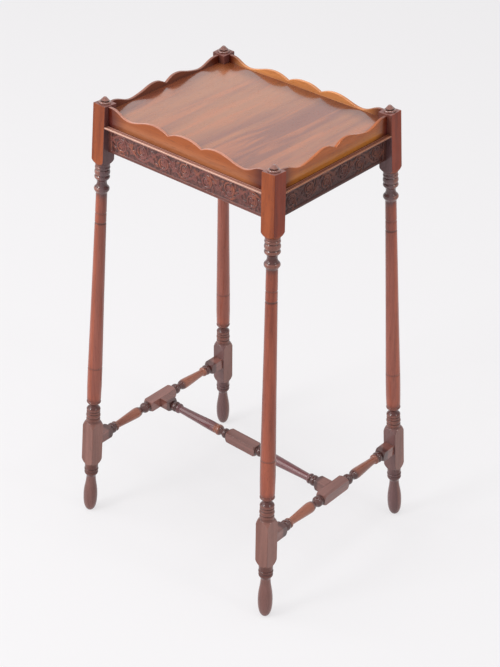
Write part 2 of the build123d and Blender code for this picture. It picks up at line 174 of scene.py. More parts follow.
# The moulding's colours, from the gallery outwards: painted highlights on the crests and painted
# shade in the hollows
BEAD_ZONES = (
    (0.0, "bead_hollow_shade"), (0.13, "bead_hollow_shade"), (0.19, "bead_brown"), (0.33, "bead_brown"),
    (0.40, "bead_hollow_shade"), (0.47, "bead_brown"), (0.62, "bead_brown"), (0.70, "bead_hollow_shade"),
    (0.80, "bead_hollow_shade"), (0.85, "bead_highlight"), (0.96, "bead_highlight"), (1.0, "bead_brown"),
)
# The stretchers' colours, from the middle to an end
SIDE_ZONES = (
    (0.0, "stretcher_block"), (0.18, "stretcher_block"), (0.20, "ring_brown"),
    (0.325, "ring_brown"), (0.36, "stretcher_brown"), (0.66, "stretcher_brown"),
    (0.70, "ring_brown"), (0.81, "ring_brown"), (0.84, "stretcher_block"),
)
CENTRE_ZONES = (
    (0.0, "stretcher_block"), (0.155, "stretcher_block"), (0.18, "ring_brown"),
    (0.25, "ring_brown"), (0.27, "stretcher_brown"), (0.31, "stretcher_brown"),
    (0.33, "centre_brown"), (0.765, "centre_brown"), (0.78, "ring_brown"), (0.87, "ring_brown"),
    (0.89, "stretcher_block"),
)

# The carving: where a scroll leaves the stem, how often it turns and how it closes in
SCROLL_START = 0.62 * math.pi
SCROLL_TURNS = 1.45
SCROLL_CLOSING = 0.30
PETALS = 5
# How high its parts stand, of the crests' height
BAND_RISE, BUD_RISE, LEAF_RISE, CORNER_RISE = 0.9, 0.95, 0.75, 0.85
# Two leaves in each corner: how far they lean from upright, and their size of a scroll's leaf
CORNER_LEAVES = ((0.5, 1.5), (-0.2, 1.2))
CORNER_WIDTH = 1.3
# Where they start: of a scroll's pitch from its middle, and of the stem's swing
CORNER_FOOT = (0.44, 0.02)
# The carved ground over the floor of the sunk field, and the wood under that ground
GROUND_LIFT, GROUND_WOOD = 0.1 * MM, 0.08 * MM
# The plain rim at the field's edge, in margins
RIM = 1.8

FLOOR_SIZE = 30
LAMP_TARGET = (0, 0, 0.4)
# Each lamp's place and width, and the setting that has its power
LAMPS = (
    ("window", (-2.6, -2.9, 2.6), 4.0, "window_light"),
    ("near lamp", (-0.9, -2.3, 2.3), 0.7, "near_light"),
    ("side lamp", (2.4, 0.3, 2.3), 0.5, "side_light"),
    ("top light", (0.2, -0.3, 3.6), 1.5, "top_light"),
)


def polish(name, description, colour):
    """A colour setting, written as it shows on a screen."""
    return FloatVectorProperty(
        name=name, description=description, subtype="COLOR_GAMMA", size=3, min=0, max=1,
        default=colour,
    )


def length(name, description, size):
    """A size setting, in metres."""
    return FloatProperty(name=name, description=description, unit="LENGTH", default=size)


def share(name, description, value):
    """A setting between 0 and 1."""
    return FloatProperty(
        name=name, description=description, subtype="FACTOR", min=0, max=1, default=value
    )


class StandPolish(bpy.types.PropertyGroup):
    """The colours of the wood, piece by piece, with the painted highlights and painted shade."""

    head_brown: polish(
        "Head block", "Front and rear faces of the square head blocks", (0.605, 0.302, 0.145)
    )
    # Painted shade: the side faces are darker and redder than the front and rear faces
    head_side_shade: polish("Head block, sides", "Side faces of the head blocks", (0.52, 0.20, 0.088))
    # Painted shade on the head faces that look under the tray and to the middle
    head_inner_shade: polish(
        "Head block, inside", "Head faces that look under the tray", (0.40, 0.298, 0.305)
    )
    head_top: polish("Head block, top", "Worn top faces of the head blocks", (0.555, 0.40, 0.38))
    shaft_brown: polish("Shaft", "The turned shafts", (0.615, 0.318, 0.225))
    lower_brown: polish("Lower block", "The square lower blocks", (0.515, 0.348, 0.308))
    foot_brown: polish("Foot", "The turned feet", (0.485, 0.335, 0.31))
    ring_brown: polish("Rings", "The turned rings and necks, dark with polish", (0.345, 0.19, 0.17))
    # Rubbed wood and painted highlight on the swell of the rings
    ring_crest_wear_and_highlight: polish("Rings, crest", "Rubbed wood on the swell of the rings", (0.56, 0.365, 0.31))
    front_gallery: polish("Gallery, front", "The front gallery board", (0.66, 0.37, 0.19))
    rear_gallery: polish(
        "Gallery, rear", "The rear gallery board, paler on its inner face", (0.93, 0.68, 0.49)
    )
    left_gallery: polish(
        "Gallery, left", "The left gallery board, red and dark", (0.52, 0.32, 0.29)
    )
    right_gallery: polish("Gallery, right", "The right gallery board, golden", (0.74, 0.42, 0.135))
    # Painted highlight on the upward faces of the gallery's top edges
    gallery_edge_highlight: polish(
        "Gallery, top edges", "Rubbed top edges of the gallery boards", (0.92, 0.72, 0.66)
    )
    gallery_end: polish(
        "Gallery, ends", "Redder wood where the gallery meets the legs", (0.38, 0.14, 0.10)
    )
    frieze_brown: polish("Frieze", "The plain wood of the frieze rails", (0.46, 0.29, 0.26))
    carving_crest: polish(
        "Carving, crest", "Rubbed wood on the crests of the carving", (0.64, 0.36, 0.25)
    )
    carving_brown: polish("Carving, leaves", "The wood of the carved leaves", (0.50, 0.285, 0.255))
    carving_ground: polish(
        "Carving, ground", "Dark polish in the ground of the carving", (0.37, 0.225, 0.205)
    )
    tray_tan: polish("Tray", "Main colour of the tray board", (0.60, 0.37, 0.232))
    tray_mauve: polish(
        "Tray, grey streaks", "Greyish streaks of the tray board", (0.47, 0.255, 0.19)
    )
    tray_orange: polish(
        "Tray, orange streaks", "Orange streaks of the tray board", (0.66, 0.375, 0.21)
    )
    stretcher_block: polish(
        "Stretcher blocks", "The square blocks of the stretchers", (0.54, 0.36, 0.325)
    )
    stretcher_brown: polish(
        "Stretcher turnings", "The long turnings of the stretchers", (0.60, 0.355, 0.26)
    )
    centre_brown: polish(
        "Centre stretcher", "The long turnings of the centre stretcher", (0.475, 0.30, 0.315)
    )
    finial_brown: polish("Finials", "Colour of the finials", (0.52, 0.32, 0.26))
    # Painted highlight on the bead's crest
    bead_highlight: polish("Bead, crest", "Rubbed crest of the bead moulding", (0.80, 0.65, 0.58))
    # Painted shade on the beads of the short sides
    bead_short_shade: polish(
        "Bead, short sides", "What the beads of the short sides are darkened by", (0.78, 0.66, 0.56)
    )
    bead_brown: polish("Bead, reed", "The reed behind the bead", (0.62, 0.42, 0.36))
    # Painted shade in the moulding's hollows
    bead_hollow_shade: polish("Bead, hollows", "Dark hollows of the bead moulding", (0.20, 0.10, 0.09))
    raw_wood: polish("Unpolished wood", "The glue blocks under the tray", (0.62, 0.46, 0.34))
    # Dark old polish, which also stands for painted shade in grooves and corners and on the short
    # sides of the frieze
    old_polish_and_shade: polish("Old polish", "Dark polish in grooves and corners", (0.19, 0.11, 0.10))
    gloss: share("Gloss", "How much clear polish lies over the wood", 0.9)
    roughness: share("Roughness", "Roughness of the wood under the polish", 0.38)
    # How dark the old polish and the painted shade in the grooves are
    grime_and_shade: share("Grime", "How dark the polish is in grooves", 0.85)
    # Painted shade on the tray next to its rear and left gallery boards
    tray_shade: length("Tray shade", "How far the tray is darker by its gallery", 36.0 * MM)
    # Painted shade on the short sides of the frieze
    short_frieze_shade: share("Short frieze", "How much darker the frieze is on the short sides", 0.65)


class CarvingSizes(bpy.types.PropertyGroup):
    """The running scrolls that are carved into the frieze."""

    turns_long: IntProperty(
        name="Scrolls, long side", description="Scrolls on a long side", default=7, min=2
    )
    turns_short: IntProperty(
        name="Scrolls, short side", description="Scrolls on a short side", default=6, min=2
    )
    reach_long: length("Half length, long side", "From the middle to the carving's end", 138.3 * MM)
    reach_short: length(
        "Half length, short side", "From the middle to the carving's end", 108.1 * MM
    )
    border: length("Border", "Plain wood under the carving", 3.0 * MM)
    height: length("Height", "Height of the carved field", 31.8 * MM)
    depth: length("Depth", "Depth of the carved field", 1.5 * MM)
    relief: length("Relief", "From the ground to the crests", 1.3 * MM)
    mesh_step: length("Mesh step", "Distance between the points of the carving's mesh", 0.42 * MM)
    margin: length("Margin", "Plain edge round the carving", 0.8 * MM)
    swing: length("Swing", "How far the stem swings up and down", 12.0 * MM)
    stem: length("Stem", "Half width of the stem", 1.8 * MM)
    scroll: length("Scroll", "Radius of a scroll", 9.8 * MM)
    flower: length("Flower", "Radius of the flower in a scroll", 5.2 * MM)
    drop: length("Drop", "From the middle of the field to a scroll's middle", 2.2 * MM)
    leaf: length("Leaf", "Length of the leaves round a scroll", 7.4 * MM)
    leaf_width: length("Leaf width", "Half width of those leaves", 2.9 * MM)
    leaves: IntProperty(name="Leaves", description="Leaves round a scroll", default=9, min=3)


class StageSettings(bpy.types.PropertyGroup):
    """The floor, the lamps and the camera."""

    floor: polish("Floor", "Colour of the floor", (0.955, 0.95, 0.955))
    backdrop: polish("Backdrop", "Colour behind the stand", (0.955, 0.95, 0.955))
    glow: share("Floor glow", "How much of the floor's paleness is its own", 0.72)
    room_light: FloatProperty(
        name="Room light", description="Strength of the light all round", default=0.6
    )
    window_light: FloatProperty(
        name="Window", description="Power of the large lamp in front", unit="POWER", default=92
    )
    near_light: FloatProperty(
        name="Near lamp", description="Power of the small lamp that sparkles in the polish",
        unit="POWER", default=20,
    )
    side_light: FloatProperty(
        name="Side lamp", description="Power of the small lamp on the right",
        unit="POWER", default=8,
    )
    top_light: FloatProperty(
        name="Top light", description="Power of the lamp above", unit="POWER", default=31
    )
    camera_place: FloatVectorProperty(
        name="Camera", description="Where the camera stands", subtype="XYZ", unit="LENGTH", size=3,
        default=(1.29881, -1.49729, 1.61353),
    )
    azimuth: FloatProperty(
        name="Azimuth", description="Camera's turn from the front", subtype="ANGLE",
        default=math.radians(40.696),
    )
    elevation: FloatProperty(
        name="Elevation", description="Camera's tilt down", subtype="ANGLE",
        default=math.radians(32.798),
    )
    roll: FloatProperty(
        name="Roll", description="Camera's roll", subtype="ANGLE", default=math.radians(0.807)
    )
    lens: FloatProperty(name="Lens", description="Focal length", unit="CAMERA", default=85.61)


def linear(colour):
    """A screen colour as the shader needs it, with the screen's curve undone."""
    return [c / 12.92 if c <= 0.04045 else ((c + 0.055) / 1.055) ** 2.4 for c in colour] + [1.0]


# Shader node groups


def new_group(name, inputs, outputs):
    """An empty shader group with its sockets."""
    tree = bpy.data.node_groups.new(name, "ShaderNodeTree")
    for label, kind, default in inputs:
        socket = tree.interface.new_socket(label, in_out="INPUT", socket_type=kind)
        if default is not None:
            socket.default_value = default
    for label, kind in outputs:
        tree.interface.new_socket(label, in_out="OUTPUT", socket_type=kind)
    return tree, tree.nodes.new("NodeGroupInput"), tree.nodes.new("NodeGroupOutput")


def math_node(tree, operation, first, second=None, third=None):
    """A maths node fed by sockets or by plain numbers; returns its output."""
    node = tree.nodes.new("ShaderNodeMath")
    node.operation = operation
    for socket, value in zip(node.inputs, (first, second, third)):
        if isinstance(value, bpy.types.NodeSocket):
            tree.links.new(value, socket)
        elif value is not None:
            socket.default_value = value
    return node.outputs[0]


def remap(tree, value, low, high, out_low=0.0, out_high=1.0):
    """A smooth step of a value between two limits."""
    node = tree.nodes.new("ShaderNodeMapRange")
    node.interpolation_type = "SMOOTHSTEP"
    tree.links.new(value, node.inputs["Value"])
    limits = (("From Min", low), ("From Max", high), ("To Min", out_low), ("To Max", out_high))
    for label, number in limits:
        node.inputs[label].default_value = number
    return node.outputs["Result"]


def mix_colours(tree, factor, first, second, kind="MIX"):
    """A mix of two colours, each a socket or a colour.

    The node's sockets 0, 6 and 7 take the factor and the two colours.
    """
    node = tree.nodes.new("ShaderNodeMix")
    node.data_type = "RGBA"
    node.blend_type = kind
    for label, value in ((0, factor), (6, first), (7, second)):
        if isinstance(value, bpy.types.NodeSocket):
            tree.links.new(value, node.inputs[label])
        else:
            node.inputs[label].default_value = value
    return node.outputs[2]


def times(tree, colour, tint):
    """A colour multiplied by another."""
    return mix_colours(tree, 1.0, colour, tint, "MULTIPLY")


def noise(tree, vector, scale, detail=2.0, distortion=0.0):
    """Soft noise with values round one half."""
    node = tree.nodes.new("ShaderNodeTexNoise")
    node.inputs["Scale"].default_value = scale
    node.inputs["Detail"].default_value = detail
    node.inputs["Distortion"].default_value = distortion
    tree.links.new(vector, node.inputs["Vector"])
    return node.outputs["Fac"]


def noise_mask(tree, vector, kind, out_low=0.0, out_high=1.0):
    """A mask drawn from one of the noises named at the top."""
    scale, detail, distortion, low, high = kind
    value = noise(tree, vector, scale, detail, distortion)
    return remap(tree, value, low, high, out_low, out_high)


def ramp(tree, value, stops):
    """A grey or colour that changes along a value, from a table of stops."""
    node = tree.nodes.new("ShaderNodeValToRGB")
    tree.links.new(value, node.inputs["Fac"])
    marks = node.color_ramp.elements
    for number, (place, shade) in enumerate(stops):
        mark = marks[number] if number < len(marks) else marks.new(place)
        mark.position = place
        mark.color = shade if isinstance(shade, (list, tuple)) else (shade, shade, shade, 1.0)
    return node.outputs["Color"]


def zones(tree, value, table, wood):
    """Colour settings laid out along a value."""
    return ramp(tree, value, [(place, linear(getattr(wood, name))) for place, name in table])


def leg_height_group():
    """How far up a leaning leg a point lies, as a share, and how far from its axis."""
    tree, inlet, outlet = new_group(
        "Height up the leg",
        [("Vector", "NodeSocketVector", None)],
        [("Share", "NodeSocketFloat"), ("Radius", "NodeSocketFloat")],
    )
    split = tree.nodes.new("ShaderNodeSeparateXYZ")
    tree.links.new(inlet.outputs["Vector"], split.inputs[0])
    foot, head = Vector(FOOT_AXIS), Vector(HEAD_AXIS)
    along = head - foot
    along /= along.length_squared
    across_x = math_node(tree, "ABSOLUTE", split.outputs["X"])
    across_y = math_node(tree, "ABSOLUTE", split.outputs["Y"])
    up = math_node(tree, "MULTIPLY_ADD", split.outputs["Z"], along.z, -foot.dot(along))
    up = math_node(tree, "MULTIPLY_ADD", across_x, along.x, up)
    up = math_node(tree, "MULTIPLY_ADD", across_y, along.y, up)
    tree.links.new(up, outlet.inputs["Share"])
    squares = []
    for axis, place in enumerate((across_x, across_y, split.outputs["Z"])):
        on_axis = math_node(tree, "MULTIPLY_ADD", up, (head - foot)[axis], foot[axis])
        offset = math_node(tree, "SUBTRACT", place, on_axis)
        squares.append(math_node(tree, "MULTIPLY", offset, offset))
    total = math_node(tree, "ADD", math_node(tree, "ADD", squares[0], squares[1]), squares[2])
    tree.links.new(math_node(tree, "SQRT", total), outlet.inputs["Radius"])
    return tree


def grain_group():
    """Broad figure, fine fibres and open pores, drawn out along the grain."""
    inputs = [
        ("Vector", "NodeSocketVector", None),
        ("Pale", "NodeSocketColor", None),
        ("Deep", "NodeSocketColor", None),
        ("Contrast", "NodeSocketFloat", 1.0),
    ]
    outputs = [("Color", "NodeSocketColor"), ("Height", "NodeSocketFloat")]
    tree, inlet, outlet = new_group("Mahogany grain", inputs, outputs)
    vector = inlet.outputs["Vector"]
    figure = noise_mask(tree, vector, FIGURE)
    streaks = noise_mask(tree, vector, STREAKS)
    fibres = noise(tree, vector, FIBRE_SCALE)
    pores = noise_mask(tree, vector, PORES)
    deep = math_node(tree, "MULTIPLY", figure, FIGURE_SHARE)
    deep = math_node(tree, "MULTIPLY_ADD", streaks, STREAK_SHARE, deep)
    deep = math_node(tree, "MULTIPLY_ADD", fibres, FIBRE_SHARE, deep)
    deep = math_node(tree, "MULTIPLY", deep, inlet.outputs["Contrast"])
    bright = times(tree, inlet.outputs["Pale"], PALE_LIFT)
    colour = mix_colours(tree, deep, bright, inlet.outputs["Deep"])
    colour = mix_colours(tree, math_node(tree, "MULTIPLY", pores, PORE_SHARE), colour, PORE_COLOUR)
    height = math_node(tree, "SUBTRACT", fibres, pores)
    tree.links.new(colour, outlet.inputs["Color"])
    tree.links.new(height, outlet.inputs["Height"])
    return tree


def grime_and_shade_group():
    """Dark old polish and painted shade in the grooves, a little patchy."""
    inputs = [
        ("Color", "NodeSocketColor", None),
        ("Grime", "NodeSocketColor", None),
        ("Vector", "NodeSocketVector", None),
        ("Amount", "NodeSocketFloat", 0.8),
        ("Reach", "NodeSocketFloat", GRIME_AND_SHADE_REACH),
    ]
    tree, inlet, outlet = new_group("Old polish", inputs, [("Color", "NodeSocketColor")])
    hollow = tree.nodes.new("ShaderNodeAmbientOcclusion")
    hollow.only_local = True
    hollow.samples = 8
    tree.links.new(inlet.outputs["Reach"], hollow.inputs["Distance"])
    # Old polish and painted shade: the more closed in a point is, the darker
    closed = remap(tree, hollow.outputs["AO"], *HOLLOWS, 1.0, 0.0)
    patchy = noise_mask(tree, inlet.outputs["Vector"], PATCHES, 0.7, 1.0)
    mask = math_node(tree, "MULTIPLY", closed, patchy)
    mask = math_node(tree, "MULTIPLY", mask, inlet.outputs["Amount"])
    colour = mix_colours(tree, mask, inlet.outputs["Color"], inlet.outputs["Grime"])
    tree.links.new(colour, outlet.inputs["Color"])
    return tree


class Finish:
    """A material under construction: object coordinates, grain, polish."""

    def __init__(self, name, along):
        self.material = bpy.data.materials.new(name)
        self.material.use_nodes = True
        self.tree = self.material.node_tree
        self.shader = self.tree.nodes["Principled BSDF"]
        place = self.tree.nodes.new("ShaderNodeTexCoord")
        self.place = place.outputs["Object"]
        self.normal = place.outputs["Normal"]
        stretch = self.tree.nodes.new("ShaderNodeMapping")
        stretch.inputs["Scale"].default_value = along
        self.tree.links.new(self.place, stretch.inputs["Vector"])
        self.vector = stretch.outputs["Vector"]
        self.height = None

    def group(self, name):
        """One of the shared node groups, put into this material."""
        node = self.tree.nodes.new("ShaderNodeGroup")
        node.node_tree = bpy.data.node_groups[name]
        return node

    def set(self, node, label, value):
        """Feeds a socket from another socket or with a plain value."""
        if isinstance(value, bpy.types.NodeSocket):
            self.tree.links.new(value, node.inputs[label])
        else:
            node.inputs[label].default_value = value

    def grain(self, pale, contrast=1.0, deep=DEEP_STREAKS):
        """Grain whose dark streaks are the pale colour times a darker one."""
        node = self.group("Mahogany grain")
        self.set(node, "Vector", self.vector)
        self.set(node, "Pale", pale)
        self.set(node, "Deep", times(self.tree, pale, deep))
        self.set(node, "Contrast", contrast)
        self.height = node.outputs["Height"]
        return node.outputs["Color"]

    def grime_and_shade(self, colour, amount, reach=GRIME_AND_SHADE_REACH):
        """Old polish and painted shade in the hollows, over a colour."""
        node = self.group("Old polish")
        self.set(node, "Color", colour)
        self.set(node, "Grime", linear(bpy.context.scene.stand_polish.old_polish_and_shade))
        self.set(node, "Vector", self.place)
        self.set(node, "Amount", amount)
        self.set(node, "Reach", reach)
        return node.outputs["Color"]

    def parts_of(self, vector):
        """The X, Y and Z of a vector."""
        split = self.tree.nodes.new("ShaderNodeSeparateXYZ")
        self.tree.links.new(vector, split.inputs[0])
        return split.outputs

    def from_middle(self, axis):
        """How far a point lies from the middle of the stand along an axis."""
        return math_node(self.tree, "ABSOLUTE", self.parts_of(self.place)[axis])

    def faces_x(self):
        """A mask of the faces that look along X."""
        side = math_node(self.tree, "ABSOLUTE", self.parts_of(self.normal)["X"])
        return remap(self.tree, side, *FACING_X)

    def faces_inwards(self, axis):
        """A mask of the sides that look from a corner of the stand to its middle."""
        place, normal = self.parts_of(self.place)[axis], self.parts_of(self.normal)[axis]
        towards = math_node(self.tree, "MULTIPLY", place, normal)
        return remap(self.tree, towards, *FACING_IN, 1.0, 0.0)

    def done(self, colour, roughness, gloss, sheen="plain", bump=0.15):
        """Joins the colour and the fibres' relief to the shader."""
        low, high = roughness - 0.05, roughness + 0.08
        raised = self.tree.nodes.new("ShaderNodeBump")
        self.set(raised, "Strength", bump)
        self.set(raised, "Distance", FIBRE_RELIEF)
        self.set(raised, "Height", self.height)
        reflection, index, coat_roughness = SHEENS[sheen]
        for label, value in (
            ("Base Color", colour),
            ("Roughness", noise_mask(self.tree, self.place, MOTTLE, low, high)),
            ("Specular IOR Level", reflection),
            ("Coat Weight", gloss),
            ("Coat IOR", index),
            ("Coat Roughness", coat_roughness),
            ("Normal", raised.outputs["Normal"]),
        ):
            self.set(self.shader, label, value)
        return self.material


def dress(nodes, material):
    """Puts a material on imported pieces."""
    for name in nodes:
        for slot in frame["nodes"][name].material_slots:
            slot.material = material


def select_only(piece):
    """Makes a piece the only one that edit mode works on."""
    bpy.ops.object.select_all(action="DESELECT")
    piece.select_set(True)
    bpy.context.view_layer.objects.active = piece


# The carved frieze


def ridge(distance, half_width):
    """A rounded ridge along a line, from its distance field."""
    return np.sqrt(np.clip(1 - (distance / half_width) ** 2, 0, 1))


def vein(off, depth, width):
    """What a shallow line, cut along a leaf or stem, leaves of its height."""
    return 1 - depth * np.exp(-((off / width) ** 2))


def leaf_relief(run, off, size, half_width):
    """A pointed leaf with a vein, from the way along and across it."""
    share_along = np.clip(run / size, 0, 1)
    wide = half_width * np.sin(math.pi * share_along**0.75) + 1e-6
    blade = ridge(off, wide) * np.where((run > 0) & (run < size), 1, 0)
    return blade * vein(off, 0.4, 0.2 * half_width)


def scroll_relief(across, rise, sizes):
    """One scroll that curls in to a flower, with leaves all round it."""
    out = np.hypot(across, rise + sizes.drop) + 1e-9
    angle = np.arctan2(rise + sizes.drop, across)
    full = 2 * math.pi
    shape = np.zeros_like(across)
    for lap in (0, 1):
        turned = np.mod(SCROLL_START - angle, full) + full * lap
        radius = sizes.scroll * (1 - SCROLL_CLOSING * turned / full)
        band = ridge(out - radius, sizes.stem * (1.05 - 0.25 * turned / full))
        shape = np.maximum(shape, BAND_RISE * np.where(turned < SCROLL_TURNS * full, band, 0))
    petal = np.abs(np.cos(PETALS / 2 * angle))
    edge = sizes.flower * (0.8 + 0.2 * petal)
    flower = ridge(out - 0.6 * edge, 0.42 * edge) * (0.7 + 0.3 * petal)
    shape = np.maximum(shape, flower)
    shape = np.maximum(shape, BUD_RISE * ridge(out, 0.28 * sizes.flower))
    pitch = full / sizes.leaves
    swirl = angle + 0.55 * (out - sizes.scroll) / sizes.scroll
    off = (np.mod(swirl, pitch) - pitch / 2) * out
    base = sizes.scroll + 0.3 * sizes.stem
    leaves = leaf_relief(out - base, off, sizes.leaf, sizes.leaf_width)
    return np.maximum(shape, LEAF_RISE * leaves)


def frieze_relief(along, up, run, sizes, turns):
    """Height of the carving, from 0 on the ground to 1 on the crests.

    A stem swings from edge to edge, a scroll fills each swing, and leaves
    fill the corners between them.
    """
    step = run / turns
    relief = np.zeros_like(along)
    for turn in range(turns):
        flip = -1 if turn % 2 else 1
        across = along + run / 2 - (turn + 0.5) * step
        rise = flip * up
        slope = -sizes.swing * math.pi / step * np.sin(math.pi * across / step)
        off = (rise - sizes.swing * np.cos(math.pi * across / step)) / np.sqrt(1 + slope**2)
        stem = ridge(off, sizes.stem) * vein(off, 0.3, 0.25 * sizes.stem)
        relief = np.maximum(relief, np.where(np.abs(across) <= 0.5 * step, stem, 0))
        scroll = scroll_relief(across, rise, sizes)
        relief = np.maximum(relief, np.where(np.abs(across) < 0.52 * step, scroll, 0))
        for side in (-1, 1):
            from_x = across - side * CORNER_FOOT[0] * step
            from_y = rise - CORNER_FOOT[1] * sizes.swing
            for lean, size in CORNER_LEAVES:
                way = math.pi / 2 - side * lean
                on = from_x * math.cos(way) + from_y * math.sin(way)
                off = from_y * math.cos(way) - from_x * math.sin(way)
                corner = leaf_relief(on, off, size * sizes.leaf, CORNER_WIDTH * sizes.leaf_width)
                relief = np.maximum(relief, CORNER_RISE * corner)
    return np.clip(relief, 0, 1)


def carve_panel(name, side, sizes):
    """One carved field as a closed slab that fills the sunk field of a rail."""
    long_side = side in LONG_SIDES
    low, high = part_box("rail_" + side)
    reach = sizes.reach_long if long_side else sizes.reach_short
    count = sizes.turns_long if long_side else sizes.turns_short
    bottom = low.z + sizes.border
    columns = int(2 * reach / sizes.mesh_step)
    rows = int(sizes.height / sizes.mesh_step)
    bpy.ops.object.select_all(action="DESELECT")
    bpy.ops.mesh.primitive_grid_add(x_subdivisions=columns, y_subdivisions=rows, size=1)
    panel = bpy.context.object
    panel.name = name
    mesh = panel.data
    places = np.empty(len(mesh.vertices) * 3)
    mesh.vertices.foreach_get("co", places)
    places = places.reshape(-1, 3)
    along = places[:, 0] * 2 * reach
    up = places[:, 1] * sizes.height
    relief = frieze_relief(along, up, 2 * reach, sizes, count)
    edge = np.minimum(reach - np.abs(along), sizes.height / 2 - np.abs(up)) / sizes.margin
    relief = np.maximum(relief * np.clip(edge, 0, 1), np.clip(RIM - edge, 0, 1))
    mesh.attributes.new("relief", "FLOAT", "POINT").data.foreach_set("value", relief)
    out = GROUND_LIFT - sizes.depth + relief * sizes.relief
    turn, outer = {
        "front": (Matrix(((1, 0, 0), (0, 0, -1), (0, 1, 0))), Vector((0, low.y, 0))),
        "rear": (Matrix(((-1, 0, 0), (0, 0, 1), (0, 1, 0))), Vector((0, high.y, 0))),
        "left": (Matrix(((0, 0, -1), (-1, 0, 0), (0, 1, 0))), Vector((low.x, 0, 0))),
        "right": (Matrix(((0, 0, 1), (1, 0, 0), (0, 1, 0))), Vector((high.x, 0, 0))),
    }[side]
    flat = np.stack([along, up + bottom + sizes.height / 2, out], 1)
    placed = flat @ np.array(turn).T + np.array(outer)
    mesh.vertices.foreach_set("co", placed.astype(np.float32).ravel())
    select_only(panel)
    bpy.ops.object.mode_set(mode="EDIT")
    bpy.ops.mesh.select_all(action="DESELECT")
    bpy.ops.mesh.select_non_manifold()
    inwards = turn @ Vector((0, 0, -sizes.relief - GROUND_WOOD))
    bpy.ops.mesh.extrude_region_move(TRANSFORM_OT_translate={"value": inwards})
    bpy.ops.mesh.edge_face_add()
    bpy.ops.mesh.select_all(action="SELECT")
    bpy.ops.mesh.normals_make_consistent(inside=False)
    bpy.ops.object.mode_set(mode="OBJECT")
    bpy.ops.object.shade_smooth()
    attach(panel, BODY)
    return panel


class STAND_OT_grain_groups(bpy.types.Operator):
    """Build the node groups that the woods share"""

    bl_idname = "stand.grain_groups"
    # The old polish group also paints shade into the hollows
    bl_label = "Grain and old polish"

    def execute(self, context):
        grain_group()
        grime_and_shade_group()
        leg_height_group()
        return {"FINISHED"}


class STAND_OT_legs(bpy.types.Operator):
    """Polish the four legs: warm head blocks, red shafts and duller feet"""

    bl_idname = "stand.legs"
    bl_label = "Legs"

    def execute(self, context):
        wood = context.scene.stand_polish
        finish = Finish("Leg mahogany", ALONG_Z)
        tree = finish.tree
        height = finish.group("Height up the leg")
        finish.set(height, "Vector", finish.place)
        up = height.outputs["Share"]
        swell = remap(tree, height.outputs["Radius"], *RING_SWELL)
        facing_up = remap(tree, finish.parts_of(finish.normal)["Z"], *FACING_UP)
        colour = zones(tree, up, LEG_ZONES, wood)
        for here, facing, shade in (
            # Painted shade on the side faces of the head blocks
            (remap(tree, up, *HEAD_START), finish.faces_x(), wood.head_side_shade),
            # Rubbed wood and painted highlight on the ring crests
            (ramp(tree, up, RING_WEAR_AND_HIGHLIGHT), swell, wood.ring_crest_wear_and_highlight),
            # Painted shade on the faces that look to the middle
            (self.inner_shade_faces(finish, up), 1.0, wood.head_inner_shade),
            (remap(tree, up, *HEAD_TOP), facing_up, wood.head_top),
            # Old polish and painted shade in the shaft's grooves
            (self.grooves(tree, up), wood.grime_and_shade, wood.old_polish_and_shade),
        ):
            mask = math_node(tree, "MULTIPLY", here, facing)
            colour = mix_colours(tree, mask, colour, linear(shade))
        colour = finish.grain(colour, ramp(tree, up, LEG_STREAKS))
        colour = finish.grime_and_shade(colour, wood.grime_and_shade)
        gloss = ramp(tree, up, LEG_GLOSS)
        polished = finish.done(colour, wood.roughness, gloss, "legs")
        dress(["leg_" + corner for corner in CORNERS], polished)
        return {"FINISHED"}

    def inner_shade_faces(self, finish, up):
        """A mask of the faces that look to the middle of the stand, which get painted shade.

        On the shaft and the head block all of them show, and on the lower block
        only those that look along Y.
        """
        tree = finish.tree
        across, along = finish.faces_inwards("X"), finish.faces_inwards("Y")
        inwards = math_node(tree, "MAXIMUM", across, along)
        inwards = math_node(tree, "MULTIPLY", ramp(tree, up, LEG_INNER_SHADE), inwards)
        low = math_node(tree, "MULTIPLY", remap(tree, up, *LOW_BLOCK_END, LOW_INNER_SHADE, 0.0), along)
        return math_node(tree, "MAXIMUM", inwards, low)

    def grooves(self, tree, up):
        """A mask of the grooves on the shaft, for old polish and painted shade."""
        stops = [(0.0, 0)]
        for groove in LEG_GROOVES:
            stops += [(groove - GROOVE_REACH, 0), (groove, 1), (groove + GROOVE_REACH, 0)]
        return ramp(tree, up, stops)


class STAND_OT_finials(bpy.types.Operator):
    """Polish the faceted finials"""

    bl_idname = "stand.finials"
    bl_label = "Finials"

    def execute(self, context):
        wood = context.scene.stand_polish
        finish = Finish("Finial mahogany", ALONG_Z)
        colour = finish.grain(linear(wood.finial_brown))
        colour = finish.grime_and_shade(colour, wood.grime_and_shade, reach=2 * MM)
        polished = finish.done(colour, roughness=0.25, gloss=1.0, sheen="finials", bump=0.1)
        dress(["finial_" + corner for corner in CORNERS], polished)
        return {"FINISHED"}


